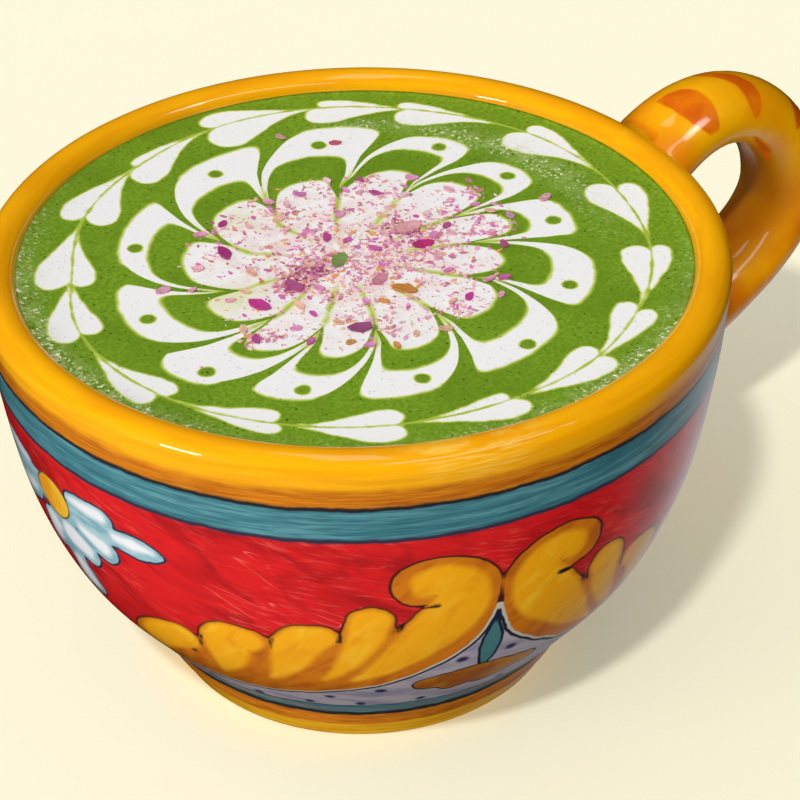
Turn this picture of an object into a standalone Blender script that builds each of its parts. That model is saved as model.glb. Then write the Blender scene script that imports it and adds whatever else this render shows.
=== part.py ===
"""A matcha latte in a wide painted ceramic cup, with rose petal flakes on its foam.

Metres, +Z up. The origin is the middle of the cup's flat base and the handle points along +X.
"""
import math
import random

import bmesh
import bpy
from mathutils import Matrix, Vector
from mathutils.geometry import interpolate_bezier

# The cup's body
CUP_HEIGHT = 0.0750
LIP_OUTER_RADIUS = 0.0600
LIP_THICKNESS = 0.0060
BASE_RADIUS = 0.0333
BASE_EDGE = 0.0007
FOOT_TOP_RADIUS = 0.0372
FOOT_TOP_HEIGHT = 0.0086
BELLY = ((0.0428, 0.0158), (0.0503, 0.0266), (0.0556, 0.0405), (0.0586, 0.0575))
WALL_THICKNESS = 0.0056
FLOOR_HEIGHT = 0.0085
FLOOR_ROUNDING = 0.0060

# The handle's line, as (distance from the cup's axis, height), and its oval rod, top root to bottom root
HANDLE_TOP_ROOT = (0.0522, 0.0540)
HANDLE_TOP_PULL = (0.0680, 0.0835)
HANDLE_CROWN_PULL = (0.0958, 0.0709)
HANDLE_OUTERMOST = (0.0958, 0.0505)
HANDLE_LOWER_PULL = (0.0958, 0.0412)
HANDLE_BOTTOM_PULL = (0.0836, 0.0323)
HANDLE_BOTTOM_ROOT = (0.0380, 0.0231)
HANDLE_HALF_WIDTH = (0.0074, 0.0084)
HANDLE_HALF_THICKNESS = (0.0056, 0.0067)
HANDLE_ROOT_FLARE = 0.18
HANDLE_FLARE_REACH = 0.16

# The drink
DRINK_LEVEL = 0.0721
GAP = 0.0003

# Flakes that stand out: distance from the middle in mm, bearing in degrees, length in mm, turn in degrees
SHOWN_FLAKES = (
    (20.5, 186, 4.2, 105), (21.1, 139, 4.2, 73), (11.3, 338, 3.9, 158), (21.0, 235, 4.2, 153),
    (12.7, 270, 4.6, 123), (12.0, 7, 5.4, 173), (21.9, 287, 2.4, 33), (28.1, 200, 2.6, 60),
    (23.9, 117, 2.2, 20), (21.4, 78, 2.7, 140), (27.7, 347, 2.4, 80), (7.3, 92, 2.7, 60),
    (35.5, 351, 2.9, 10), (36.3, 58, 2.4, 150), (40.4, 71, 2.4, 100), (31.7, 160, 2.9, 170),
    (19.6, 43, 2.5, 120), (3.0, 171, 4.6, 30), (13.1, 185, 4.4, 95), (8.1, 261, 4.0, 20),
)

# The smaller flakes, thinning out from the middle
SMALL_FLAKES = 56
SMALL_FLAKE_LENGTH = 0.0023
FLAKE_FIELD_RADIUS = 0.0275
FLAKE_SPREAD = 0.62
FLAKE_SEED = 11

# The form of one flake
FLAKE_WIDTH = 0.58
FLAKE_THICKNESS = 0.0009
FLAKE_CURL = 8.0
FLAKE_TILT = 0.2

# How finely the round shapes are cut up
TURN_STEPS = 64
CURVE_STEPS = 3
LIP_STEPS = 8
HANDLE_STEPS = 16
HANDLE_SIDES = 16
FLAKE_SEGMENTS = 6
FLAKE_RINGS = 4
SMOOTH_ANGLE = math.radians(40)

GLAZE_YELLOW = (0.93, 0.42, 0.01)
MATCHA_GREEN = (0.20, 0.33, 0.04)
PETAL_PINK = (0.55, 0.05, 0.25)


def clear_scene():
    for item in list(bpy.data.objects):
        bpy.data.objects.remove(item, do_unlink=True)


def material(name, colour, roughness):
    """A plain opaque material of one colour."""
    made = bpy.data.materials.new(name)
    made.use_nodes = True
    shader = made.node_tree.nodes["Principled BSDF"]
    shader.inputs["Base Color"].default_value = (*colour, 1.0)
    shader.inputs["Roughness"].default_value = roughness
    shader.inputs["Metallic"].default_value = 0.0
    return made


def smooth_through(points, steps):
    """Points on a smooth curve through the given (radius, height) points, ends included."""
    knots = [Vector(p) for p in points]
    knots.insert(0, 2 * knots[0] - knots[1])
    knots.append(2 * knots[-1] - knots[-2])
    curve = []
    for before, start, end, after in zip(knots, knots[1:], knots[2:], knots[3:]):
        pull_out = start + (end - before) / 6
        pull_in = end - (after - start) / 6
        curve += interpolate_bezier(start, pull_out, pull_in, end, steps + 1)[:-1]
    curve.append(knots[-2])
    return [(p.x, p.y) for p in curve]


def moved_in(curve, distance):
    """The curve moved square to itself, towards the axis for a curve that runs upwards."""
    moved = []
    for i, (r, z) in enumerate(curve):
        before = curve[max(i - 1, 0)]
        after = curve[min(i + 1, len(curve) - 1)]
        dr, dz = after[0] - before[0], after[1] - before[1]
        length = math.hypot(dr, dz)
        moved.append((r - dz / length * distance, z + dr / length * distance))
    return moved


def outer_wall():
    """The outside of the body, from the notch over the foot up to the lip's widest point."""
    lip = (LIP_OUTER_RADIUS, CUP_HEIGHT - LIP_THICKNESS / 2)
    return smooth_through(((FOOT_TOP_RADIUS, FOOT_TOP_HEIGHT), *BELLY, lip), CURVE_STEPS)


def lip_arc():
    """The rounded lip, from its widest point over the top to the drink's side."""
    half = LIP_THICKNESS / 2
    angles = [math.pi * i / LIP_STEPS for i in range(1, LIP_STEPS)]
    return [(LIP_OUTER_RADIUS - half + half * math.cos(a), CUP_HEIGHT - half + half * math.sin(a))
            for a in angles]


def inner_wall():
    """The inside of the cup, from the middle of its floor up to the lip."""
    wall = [p for p in moved_in(outer_wall(), WALL_THICKNESS)[:-1] if p[1] > FLOOR_HEIGHT + FLOOR_ROUNDING]
    corner_r, corner_z = wall[0]
    floor = [(corner_r * t, FLOOR_HEIGHT + (corner_z - FLOOR_HEIGHT) * t ** 3) for t in (0.0, 0.4, 0.7, 0.88)]
    return floor + wall + [(LIP_OUTER_RADIUS - LIP_THICKNESS, CUP_HEIGHT - LIP_THICKNESS / 2)]


def link_mesh(name, bm, look):
    """Put the finished bmesh into the scene as a smooth object."""
    mesh = bpy.data.meshes.new(name)
    bm.to_mesh(mesh)
    bm.free()
    mesh.shade_smooth()
    mesh.set_sharp_from_angle(angle=SMOOTH_ANGLE)
    mesh.materials.append(look)
    made = bpy.data.objects.new(name, mesh)
    bpy.context.scene.collection.objects.link(made)
    return made


def turned(name, profile, look):
    """A closed solid spun from a profile whose ends lie on the axis."""
    bm = bmesh.new()
    verts = [bm.verts.new((r, 0.0, z)) for r, z in profile]
    edges = [bm.edges.new(pair) for pair in zip(verts, verts[1:])]
    bmesh.ops.spin(bm, geom=verts + edges, cent=(0, 0, 0), axis=(0, 0, 1), angle=math.tau,
                   steps=TURN_STEPS, use_merge=True)
    bmesh.ops.remove_doubles(bm, verts=bm.verts[:], dist=0.00001)
    bmesh.ops.recalc_face_normals(bm, faces=bm.faces[:])
    return link_mesh(name, bm, look)


def handle_rings():
    """Centre, direction across, and half sizes of each oval ring along the handle."""
    upper = interpolate_bezier(Vector(HANDLE_TOP_ROOT), Vector(HANDLE_TOP_PULL), Vector(HANDLE_CROWN_PULL),
                               Vector(HANDLE_OUTERMOST), HANDLE_STEPS)
    lower = interpolate_bezier(Vector(HANDLE_OUTERMOST), Vector(HANDLE_LOWER_PULL), Vector(HANDLE_BOTTOM_PULL),
                               Vector(HANDLE_BOTTOM_ROOT), HANDLE_STEPS)
    line = upper + lower[1:]
    last = len(line) - 1
    for i, centre in enumerate(line):
        along = (line[min(i + 1, last)] - line[max(i - 1, 0)]).normalized()
        travel = i / last
        flare = 1 + HANDLE_ROOT_FLARE * math.exp(-(min(travel, 1 - travel) / HANDLE_FLARE_REACH) ** 2)
        width, thickness = (flare * (top + (bottom - top) * travel)
                            for top, bottom in (HANDLE_HALF_WIDTH, HANDLE_HALF_THICKNESS))
        yield centre, Vector((-along.y, along.x)), width, thickness


def handle_rod(look):
    """The oval rod along the handle's line, closed at both ends inside the cup's wall."""
    bm = bmesh.new()
    loops = []
    for centre, across, width, thickness in handle_rings():
        loop = []
        for i in range(HANDLE_SIDES):
            a = math.tau * i / HANDLE_SIDES
            flat = centre + across * thickness * math.cos(a)
            loop.append(bm.verts.new((flat.x, width * math.sin(a), flat.y)))
        loops.append(loop)
    for near, far in zip(loops, loops[1:]):
        for i in range(HANDLE_SIDES):
            j = (i + 1) % HANDLE_SIDES
            bm.faces.new((near[i], near[j], far[j], far[i]))
    bm.faces.new(loops[0])
    bm.faces.new(loops[-1])
    bmesh.ops.recalc_face_normals(bm, faces=bm.faces[:])
    return link_mesh("handle_rod", bm, look)


def shape_with(target, operation, tool):
    """A Boolean on target, with a tool that is hidden from the model."""
    tool.hide_render = True
    tool.display_type = "WIRE"
    step = target.modifiers.new(operation.lower(), "BOOLEAN")
    step.operation = operation
    step.object = tool
    step.solver = "EXACT"


def build_cup(look):
    """The cup's body and handle as one solid."""
    base = [(0.0, 0.0), (BASE_RADIUS - BASE_EDGE, 0.0), (BASE_RADIUS, BASE_EDGE)]
    cup = turned("cup", base + outer_wall() + lip_arc() + inner_wall()[::-1], look)
    mid_wall = moved_in(outer_wall(), WALL_THICKNESS / 2)
    core = turned("wall_core", [(0.0, mid_wall[0][1]), *mid_wall, (0.0, mid_wall[-1][1])], look)
    handle = handle_rod(look)
    shape_with(handle, "DIFFERENCE", core)
    shape_with(cup, "UNION", handle)


def flake_places(rng):
    """Place, length and turn of each flake, in metres and radians."""
    places = []
    for distance, bearing, length, turn in SHOWN_FLAKES:
        spot = Matrix.Rotation(math.radians(bearing), 2) @ Vector((distance / 1000, 0.0))
        places.append((spot, length / 1000, math.radians(turn)))
    while len(places) < len(SHOWN_FLAKES) + SMALL_FLAKES:
        distance = FLAKE_FIELD_RADIUS * rng.random() ** FLAKE_SPREAD
        spot = Matrix.Rotation(rng.uniform(0, math.tau), 2) @ Vector((distance, 0.0))
        length = SMALL_FLAKE_LENGTH * rng.uniform(0.8, 1.2)
        if all((spot - other).length > (length + size) / 2 for other, size, _ in places):
            places.append((spot, length, rng.uniform(0, math.pi)))
    return places


def flake(number, spot, length, turn, tilt, look):
    """A thin pointed flake, half sunk in the foam, its ends curled up a little."""
    bm = bmesh.new()
    bmesh.ops.create_uvsphere(bm, u_segments=FLAKE_SEGMENTS, v_segments=FLAKE_RINGS, radius=0.5)
    for vert in bm.verts:
        along = vert.co.z * length
        vert.co = (along, vert.co.x * length * FLAKE_WIDTH, vert.co.y * FLAKE_THICKNESS + FLAKE_CURL * along ** 2)
    made = link_mesh(f"flake_{number}", bm, look)
    made.location = (spot.x, spot.y, DRINK_LEVEL)
    made.rotation_euler = (tilt, 0.0, turn)
    return made


def build_drink(look, flake_look):
    """The drink up to its level, with the flakes joined to the foam."""
    side = [p for p in moved_in(inner_wall(), GAP) if p[1] < DRINK_LEVEL]
    side[0] = (0.0, side[0][1])
    foam_radius = LIP_OUTER_RADIUS - LIP_THICKNESS - GAP
    foam = [(foam_radius * t, DRINK_LEVEL) for t in (1.0, 0.7, 0.35, 0.0)]
    drink = turned("matcha_latte", side + foam, look)

    rng = random.Random(FLAKE_SEED)
    flakes = bpy.data.collections.new("petal_flakes")
    bpy.context.scene.collection.children.link(flakes)
    for number, (spot, length, turn) in enumerate(flake_places(rng)):
        made = flake(number, spot, length, turn, rng.uniform(-FLAKE_TILT, FLAKE_TILT), flake_look)
        flakes.objects.link(made)
        bpy.context.scene.collection.objects.unlink(made)

    step = drink.modifiers.new("flakes", "BOOLEAN")
    step.operation = "UNION"
    step.operand_type = "COLLECTION"
    step.collection = flakes
    step.solver = "EXACT"
    bpy.context.view_layer.objects.active = drink
    bpy.ops.object.modifier_apply(modifier=step.name)
    for made in list(flakes.objects):
        bpy.data.objects.remove(made, do_unlink=True)
    bpy.data.collections.remove(flakes)


clear_scene()
build_cup(material("glazed_ceramic", GLAZE_YELLOW, 0.15))
build_drink(material("matcha_foam", MATCHA_GREEN, 0.5), material("petal", PETAL_PINK, 0.6))
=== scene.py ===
"""A matcha latte with a marbled milk flower and rose petal flakes, in a wide hand-painted cup.

Metres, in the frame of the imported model: +Z up, the handle along +X, the cup's base on the floor.
"""
import math
import random

import bpy
import numpy as np
from mathutils import Matrix, Vector
from mathutils.geometry import interpolate_bezier


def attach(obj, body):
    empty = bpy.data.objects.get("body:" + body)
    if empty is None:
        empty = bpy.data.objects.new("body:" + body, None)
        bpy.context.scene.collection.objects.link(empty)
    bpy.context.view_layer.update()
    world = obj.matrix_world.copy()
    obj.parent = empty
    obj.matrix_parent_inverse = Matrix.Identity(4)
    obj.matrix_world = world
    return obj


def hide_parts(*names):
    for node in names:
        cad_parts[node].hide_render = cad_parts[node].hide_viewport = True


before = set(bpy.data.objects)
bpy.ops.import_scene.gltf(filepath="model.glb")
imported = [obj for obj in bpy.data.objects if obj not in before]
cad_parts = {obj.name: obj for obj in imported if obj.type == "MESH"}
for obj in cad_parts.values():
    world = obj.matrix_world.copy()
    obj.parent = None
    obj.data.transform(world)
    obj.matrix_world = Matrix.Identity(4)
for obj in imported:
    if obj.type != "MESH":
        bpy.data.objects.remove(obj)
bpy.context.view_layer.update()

scene = bpy.context.scene
scene.view_settings.view_transform = "Standard"


# The floor is a wide sheet of cream card, matt, that carries the cup and takes its soft shadow.
# Its colour is even from edge to edge, as on a studio table.
def linear(hex_colour):
    """An sRGB hex colour as linear red, green, blue and an alpha of one."""
    parts = [int(hex_colour[i:i + 2], 16) / 255 for i in (1, 3, 5)]
    return (*[p / 12.92 if p <= 0.04045 else ((p + 0.055) / 1.055) ** 2.4 for p in parts], 1.0)


def add_node(tree, kind, links=None, **settings):
    """Add one node, set its values, and join or fill its inputs."""
    made = tree.nodes.new(kind)
    for name, value in settings.items():
        setattr(made, name, value)
    for socket, source in (links or {}).items():
        if isinstance(source, bpy.types.NodeSocket):
            tree.links.new(source, made.inputs[socket])
        else:
            made.inputs[socket].default_value = source
    return made


def new_material(name):
    """An empty node material and its tree, with the shader already joined to the output."""
    made = bpy.data.materials.new(name)
    made.use_nodes = True
    tree = made.node_tree
    return made, tree, tree.nodes["Principled BSDF"]


def clear_selection():
    if bpy.context.object and bpy.context.object.mode != "OBJECT":
        bpy.ops.object.mode_set(mode="OBJECT")
    bpy.ops.object.select_all(action="DESELECT")


clear_selection()
bpy.ops.mesh.primitive_plane_add(size=8.0, location=(0.0, 0.0, -0.0002))
floor = bpy.context.object
floor.name = "cream_card"
card, tree, shader = new_material("matt_cream_card")
shader.inputs["Base Color"].default_value = linear("#E2E0C9")
shader.inputs["Roughness"].default_value = 1.0
shader.inputs["Specular IOR Level"].default_value = 0.0
shader.inputs["Emission Color"].default_value = linear("#FBF6D9")
shader.inputs["Emission Strength"].default_value = 0.30
floor.data.materials.append(card)
floor.visible_diffuse = False
floor.visible_glossy = False
floor.visible_shadow = False

# The light is that of a small studio: a lamp high on the near left that throws the shadow, a wide one low
# on the left, and a dim sky, all kept off the glaze's gloss. Diffusers and the light off the table show
# only in the gloss, as the pale streaks and haze on the glaze.
world = bpy.data.worlds.new("dim_studio")
world.use_nodes = True
world.cycles_visibility.glossy = False
scene.world = world
air = world.node_tree
sky = air.nodes["Background"]
look = add_node(air, "ShaderNodeTexCoord").outputs["Generated"]
halves = []
for brightest, darkest_at, brightest_at, least, most in (((-0.60, 0.10, 0.79), -0.6, 1.0, 0.06, 0.56),
                                                         ((-0.89, -0.12, -0.44), -0.35, 0.9, 0.0, 1.10)):
    towards = add_node(air, "ShaderNodeVectorMath", {0: look, 1: brightest}, operation="DOT_PRODUCT")
    half = add_node(air, "ShaderNodeMapRange", {"Value": towards.outputs["Value"], "From Min": darkest_at,
                                                "From Max": brightest_at, "To Min": least, "To Max": most},
                    interpolation_type="SMOOTHSTEP")
    halves.append(half.outputs["Result"])
level = add_node(air, "ShaderNodeSeparateXYZ", {"Vector": look}).outputs["Z"]
under = add_node(air, "ShaderNodeMapRange", {"Value": level, "From Min": 0.08, "From Max": -0.12},
                 interpolation_type="SMOOTHSTEP")
glow = add_node(air, "ShaderNodeMix", {0: under.outputs["Result"], 2: halves[0], 3: halves[1]})
air.links.new(glow.outputs[0], sky.inputs["Strength"])
sky.inputs["Color"].default_value = linear("#FFFDF8")

for name, shining, energy, spread in (("high_lamp", (0.60, 0.44, -1.0), 1.72, 4),
                                      ("left_lamp", (0.945, -0.25, -0.21), 0.80, 28)):
    clear_selection()
    bpy.ops.object.light_add(type="SUN", location=(-0.5, -0.3, 1.0))
    lamp = bpy.context.object
    lamp.name = name
    lamp.data.energy = energy
    lamp.data.angle = math.radians(spread)
    lamp.data.color = linear("#FFFDFA")[:3]
    lamp.visible_glossy = False
    lamp.rotation_euler = Vector(shining).to_track_quat("-Z", "Y").to_euler()

for name, place, aim, size, energy in (
        ("left_diffuser", (-0.776, -0.054, 0.29), (0.0, 0.0, 0.07), (0.16, 0.12), 1.2),
        ("near_diffuser", (0.00, -0.62, 0.80), (0.02, 0.0, 0.07), (0.70, 0.12), 0.9),
        ("handle_diffuser", (0.140, -0.177, 0.273), (0.070, -0.005, 0.077), (0.092, 0.104), 0.0085),
        ("top_diffuser", (-0.04, 0.02, 1.10), (0.0, 0.0, 0.07), (0.60, 0.20), 0.9),
        ("table_glow", (0.14, 0.0, -0.05), (0.14, 0.0, 0.07), (0.28, 0.28), 0.14)):
    clear_selection()
    bpy.ops.object.light_add(type="AREA", location=place)
    diffuser = bpy.context.object
    diffuser.name = name
    diffuser.data.shape = "RECTANGLE"
    diffuser.data.size, diffuser.data.size_y = size
    diffuser.data.energy = energy
    diffuser.rotation_euler = (Vector(aim) - Vector(place)).to_track_quat("-Z", "Y").to_euler()
    diffuser.visible_diffuse = False
# A grid on the handle's diffuser keeps its light off the cup's lip
bpy.data.objects["handle_diffuser"].data.spread = math.radians(26)
# The light off the table fades from its middle to its edge
table_glow = bpy.data.objects["table_glow"].data
table_glow.use_nodes = True
tree = table_glow.node_tree
on_glow = add_node(tree, "ShaderNodeNewGeometry").outputs["Parametric"]
from_middle = add_node(tree, "ShaderNodeVectorMath", {0: on_glow, 1: (0.5, 0.5, 0.0)}, operation="DISTANCE")
fade = add_node(tree, "ShaderNodeMapRange", {"Value": from_middle.outputs["Value"], "From Min": 0.5,
                                               "From Max": 0.0},
                interpolation_type="SMOOTHSTEP")
tree.links.new(fade.outputs["Result"], tree.nodes["Emission"].inputs["Strength"])

# The camera stands where the photograph's did
clear_selection()
bpy.ops.object.camera_add(location=(-0.23466, -0.31562, 0.31832),
                          rotation=[math.radians(a) for a in (55.0948, 0.7011, -38.1090)])
camera = bpy.context.object
camera.data.sensor_width = 36.0
camera.data.lens = 130.5
camera.data.clip_start = 0.01
scene.camera = camera

# The cup is earthenware turned on a wheel, with a pulled handle stuck on wet. It is dipped in white
# tin glaze, painted by brush with metal colours, and fired to a hard, glossy, slightly uneven coat.
CUP_HEIGHT = 0.0750
LIP_RADIUS = 0.0030
LIP_CENTRE = 0.0570
DRINK_LEVEL = 0.0721
CUP_SIDES = 560
WALL_KNOTS = (
    (0.0372, 0.0086), (0.0428, 0.0158), (0.0503, 0.0266), (0.0556, 0.0405), (0.0586, 0.0575),
    (0.0600, 0.0720))
RING_STEP = 0.00062


def smooth_through(points, steps):
    """Points on a smooth curve through the given (radius, height) points, ends included."""
    knots = [Vector(p) for p in points]
    knots.insert(0, 2 * knots[0] - knots[1])
    knots.append(2 * knots[-1] - knots[-2])
    curve = []
    for before, start, end, after in zip(knots, knots[1:], knots[2:], knots[3:]):
        pull_out = start + (end - before) / 6
        pull_in = end - (after - start) / 6
        curve += interpolate_bezier(start, pull_out, pull_in, end, steps + 1)[:-1]
    curve.append(knots[-2])
    return np.array([(p.x, p.y) for p in curve])


def even_steps(curve, step):
    """The same curve cut into even steps of about the given length."""
    travel = np.concatenate([[0.0], np.cumsum(np.hypot(*np.diff(curve, axis=0).T))])
    marks = np.linspace(0.0, travel[-1], max(int(round(travel[-1] / step)), 1) + 1)
    return np.stack([np.interp(marks, travel, curve[:, 0]), np.interp(marks, travel, curve[:, 1])], 1)


wall = even_steps(smooth_through(WALL_KNOTS, 40), RING_STEP)
lip_angles = np.linspace(0.0, math.pi, 19)[1:]
lip = np.stack([LIP_CENTRE + LIP_RADIUS * np.cos(lip_angles),
                CUP_HEIGHT - LIP_RADIUS + LIP_RADIUS * np.sin(lip_angles)], 1)
inner_knots = ((0.0540, 0.0720), (0.0531, 0.0580), (0.0500, 0.0420), (0.0450, 0.0290), (0.0360, 0.0178),
               (0.0260, 0.0115), (0.0140, 0.0089), (0.0004, 0.0085))
inside = smooth_through(inner_knots, 2)[1:]
foot = np.array([(0.0003, 0.0), (0.0326, 0.0), (0.0331, 0.00018), (0.0333, 0.0007)])
foot_side = even_steps(np.array([(0.0333, 0.0007), (0.0355, 0.0044), (0.0372, 0.0086)]), RING_STEP)[1:-1]
profile = np.concatenate([foot, foot_side, wall, lip, inside])


def turned_solid(name, outline, steps):
    """A closed solid turned on the wheel from an outline of (radius, height) points."""
    clear_selection()
    bpy.ops.mesh.primitive_plane_add(size=0.001, location=(outline[0][0], 0.0, outline[0][1]))
    solid = bpy.context.object
    solid.name = name
    bpy.ops.object.mode_set(mode="EDIT")
    bpy.ops.mesh.select_all(action="SELECT")
    bpy.ops.mesh.merge(type="CENTER")
    for (r0, z0), (r1, z1) in zip(outline, outline[1:]):
        bpy.ops.mesh.extrude_region_move(TRANSFORM_OT_translate={"value": (r1 - r0, 0.0, z1 - z0)})
    bpy.ops.mesh.select_all(action="SELECT")
    bpy.ops.mesh.spin(steps=steps, angle=math.tau, center=(0.0, 0.0, 0.0), axis=(0.0, 0.0, 1.0))
    bpy.ops.mesh.select_all(action="SELECT")
    bpy.ops.mesh.remove_doubles(threshold=0.00001)
    bpy.ops.mesh.select_all(action="DESELECT")
    bpy.ops.mesh.select_non_manifold()
    bpy.ops.mesh.fill_holes(sides=0)
    bpy.ops.mesh.select_all(action="SELECT")
    bpy.ops.mesh.normals_make_consistent(inside=False)
    bpy.ops.object.mode_set(mode="OBJECT")
    bpy.ops.object.transform_apply(location=True, rotation=True, scale=True)
    return solid


cup = turned_solid("painted_cup", profile, CUP_SIDES)

# The handle's pulled rod: an oval ring carried along the line, swelling where it joins the wall
HANDLE_UPPER = ((0.0522, 0.0540), (0.0680, 0.0835), (0.0958, 0.0709), (0.0958, 0.0505))
HANDLE_LOWER = ((0.0958, 0.0505), (0.0958, 0.0412), (0.0836, 0.0323), (0.0380, 0.0231))
HALF_WIDTH = (0.0074, 0.0084)
HALF_THICKNESS = (0.0056, 0.0067)
ROOT_FLARE = 0.18
FLARE_REACH = 0.16
ROD_SIDES = 44
ROD_STEPS = 34
FILLET = 0.0022

upper = interpolate_bezier(*[Vector(p) for p in HANDLE_UPPER], ROD_STEPS)
lower = interpolate_bezier(*[Vector(p) for p in HANDLE_LOWER], ROD_STEPS)
line = upper + lower[1:]
last = len(line) - 1


def rod_ring(i):
    """Centre, tilt, half width and half thickness of the handle's ring number i."""
    along = line[min(i + 1, last)] - line[max(i - 1, 0)]
    travel = i / last
    flare = 1 + ROOT_FLARE * math.exp(-(min(travel, 1 - travel) / FLARE_REACH) ** 2)
    width, thickness = (flare * (a + (b - a) * travel) for a, b in (HALF_WIDTH, HALF_THICKNESS))
    return Vector((line[i].x, 0.0, line[i].y)), math.atan2(along.y, along.x), width, thickness


clear_selection()
centre, tilt, width, thickness = rod_ring(0)
bpy.ops.mesh.primitive_circle_add(vertices=ROD_SIDES, radius=1.0, fill_type="NGON", location=centre,
                                  rotation=(0.0, math.pi / 2 - tilt, 0.0))
rod = bpy.context.object
rod.name = "handle_rod"
rod.scale = (thickness, width, 1.0)
bpy.ops.object.transform_apply(location=True, rotation=True, scale=True)
bpy.ops.object.mode_set(mode="EDIT")
bpy.ops.mesh.select_all(action="SELECT")
for i in range(1, last + 1):
    next_centre, next_tilt, next_width, next_thickness = rod_ring(i)
    bpy.ops.mesh.extrude_region_move(TRANSFORM_OT_translate={"value": next_centre - centre})
    bpy.ops.transform.rotate(value=next_tilt - tilt, orient_axis="Y", center_override=next_centre)
    taller, wider = next_thickness / thickness, next_width / width
    bpy.ops.transform.resize(value=(taller, wider, taller), center_override=next_centre)
    centre, tilt, width, thickness = next_centre, next_tilt, next_width, next_thickness
bpy.ops.mesh.select_all(action="SELECT")
bpy.ops.mesh.normals_make_consistent(inside=False)
bpy.ops.object.mode_set(mode="OBJECT")


def read_points(mesh):
    """The mesh's points as an array."""
    flat = np.empty(len(mesh.vertices) * 3, dtype=np.float32)
    mesh.vertices.foreach_get("co", flat)
    return flat.reshape(-1, 3).astype(float)


def write_points(mesh, points):
    mesh.vertices.foreach_set("co", points.astype(np.float32).ravel())
    mesh.update()


def wall_radius(height):
    """The outside radius of the cup's body at a height."""
    return np.interp(height, np.concatenate([foot_side[:, 1], wall[:, 1]]),
                     np.concatenate([foot_side[:, 0], wall[:, 0]]))


# Near the wall the rod swells out into it in a small fillet
points = read_points(rod.data)
rings = points.reshape(last + 1, ROD_SIDES, 3)
centres = rings.mean(axis=1, keepdims=True)
spokes = rings - centres
lengths = np.linalg.norm(spokes, axis=2, keepdims=True)
off_wall = np.hypot(rings[..., 0], rings[..., 1]) - wall_radius(rings[..., 2])
bite = np.clip(1 - off_wall / FILLET, 0.0, 1.0)
push = FILLET * (1 - np.sqrt(1 - bite ** 2 * 0.98)) * (off_wall > -0.0006)
rings = centres + spokes * (1 + push[..., None] / lengths)
write_points(rod.data, rings.reshape(-1, 3))

# A solid that fills the cup's hollow keeps the rod's buried ends out of the drink
CORE_INSET = 0.0026
core_outline = [(0.0003, 0.0100)] + [(r - CORE_INSET, z) for r, z in wall[8::8]] + [(0.0003, wall[-1][1])]
core = turned_solid("core", core_outline, 96)


def combine(target, operation, tool):
    """Cut or join two closed solids and drop the tool."""
    step = target.modifiers.new(operation.lower(), "BOOLEAN")
    step.operation = operation
    step.object = tool
    step.solver = "EXACT"
    bpy.context.view_layer.objects.active = target
    bpy.ops.object.modifier_apply(modifier=step.name)
    bpy.data.objects.remove(tool, do_unlink=True)


combine(rod, "DIFFERENCE", core)
combine(cup, "UNION", rod)
cup.data.shade_smooth()

# The painting on the glaze: bands turned on the wheel, and between them scrolls of yellow leaves that
# face each other, with a flower of blue and white petals where their tails meet. Each form is laid
# along a brushed line of (mm round the wall, mm up, half width in mm), both halves alike.
MIRROR_BEARING = -105.13
CURL = (
    (9.5, 46.2, 0.7), (11.9, 46.9, 1.3), (13.4, 48.9, 2.2), (12.8, 51.6, 2.4), (9.9, 52.6, 2.6),
    (6.6, 51.3, 3.3), (4.6, 47.9, 4.2), (5.4, 44.2, 5.0), (6.6, 41.6, 5.8), (8.9, 37.4, 6.2),
    (13.9, 33.2, 6.2), (19.9, 29.5, 5.8), (26.9, 26.6, 5.4), (34.0, 24.2, 5.1), (41.0, 22.6, 4.9),
    (48.0, 22.2, 4.7), (54.0, 22.0, 4.2), (59.0, 21.6, 3.2), (65.1, 22.0, 1.6), (71.0, 23.4, 0.3))
LOBES = (
    ((18.7, 42.4, 3.4), (19.7, 37.4, 3.9), (21.9, 32.2, 4.2)),
    ((26.0, 38.7, 2.9), (29.0, 36.9, 3.8), (31.0, 31.6, 4.6), (35.5, 27.0, 4.0)),
    ((36.9, 35.3, 3.3), (40.5, 34.7, 3.9), (41.5, 30.6, 4.6), (44.0, 26.0, 4.0)),
    ((49.3, 31.1, 3.3), (53.5, 28.9, 3.8), (56.5, 26.1, 4.0), (60.0, 23.2, 2.4)))
YELLOW_LEAVES = (
    ((9.3, 47.8, 0.5), (11.1, 48.9, 1.5), (11.1, 50.8, 1.8), (8.6, 51.1, 2.4), (6.0, 48.7, 3.2),
     (5.9, 44.8, 4.2), (8.1, 40.6, 4.6), (11.4, 36.4, 3.9), (14.9, 32.2, 2.7), (17.9, 29.0, 1.6),
     (21.4, 26.1, 0.3)),
    ((18.7, 42.4, 2.9), (19.7, 37.4, 2.6), (21.7, 32.7, 1.9), (23.9, 29.0, 1.0), (26.2, 26.1, 0.2)),
    ((26.2, 38.6, 2.5), (29.0, 36.9, 3.4), (30.7, 32.7, 3.0), (32.5, 28.5, 1.8), (35.2, 24.5, 0.2)),
    ((37.5, 35.4, 2.7), (40.5, 34.7, 3.5), (41.5, 30.6, 3.3), (42.5, 26.4, 2.0), (44.7, 22.4, 0.2)),
    ((49.3, 31.1, 2.9), (53.5, 28.9, 3.2), (56.3, 26.1, 2.8), (58.0, 23.2, 1.2)))
NOTCHES = (
    ((9.4, 45.0, 0.45), (11.4, 44.8, 0.35)),
    ((14.0, 41.9, 0.2), (14.7, 39.8, 0.35)),
    ((22.6, 41.9, 0.2), (23.3, 37.7, 0.35)),
    ((33.1, 37.4, 0.2), (33.8, 34.4, 0.3)),
    ((45.1, 33.7, 0.2), (46.1, 30.0, 0.3)))
LEAF = (((0.0, 39.5, 0.05), (0.0, 35.5, 1.0), (0.0, 32.0, 1.4), (0.0, 28.5, 1.1), (0.0, 25.8, 0.3)),)
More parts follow.
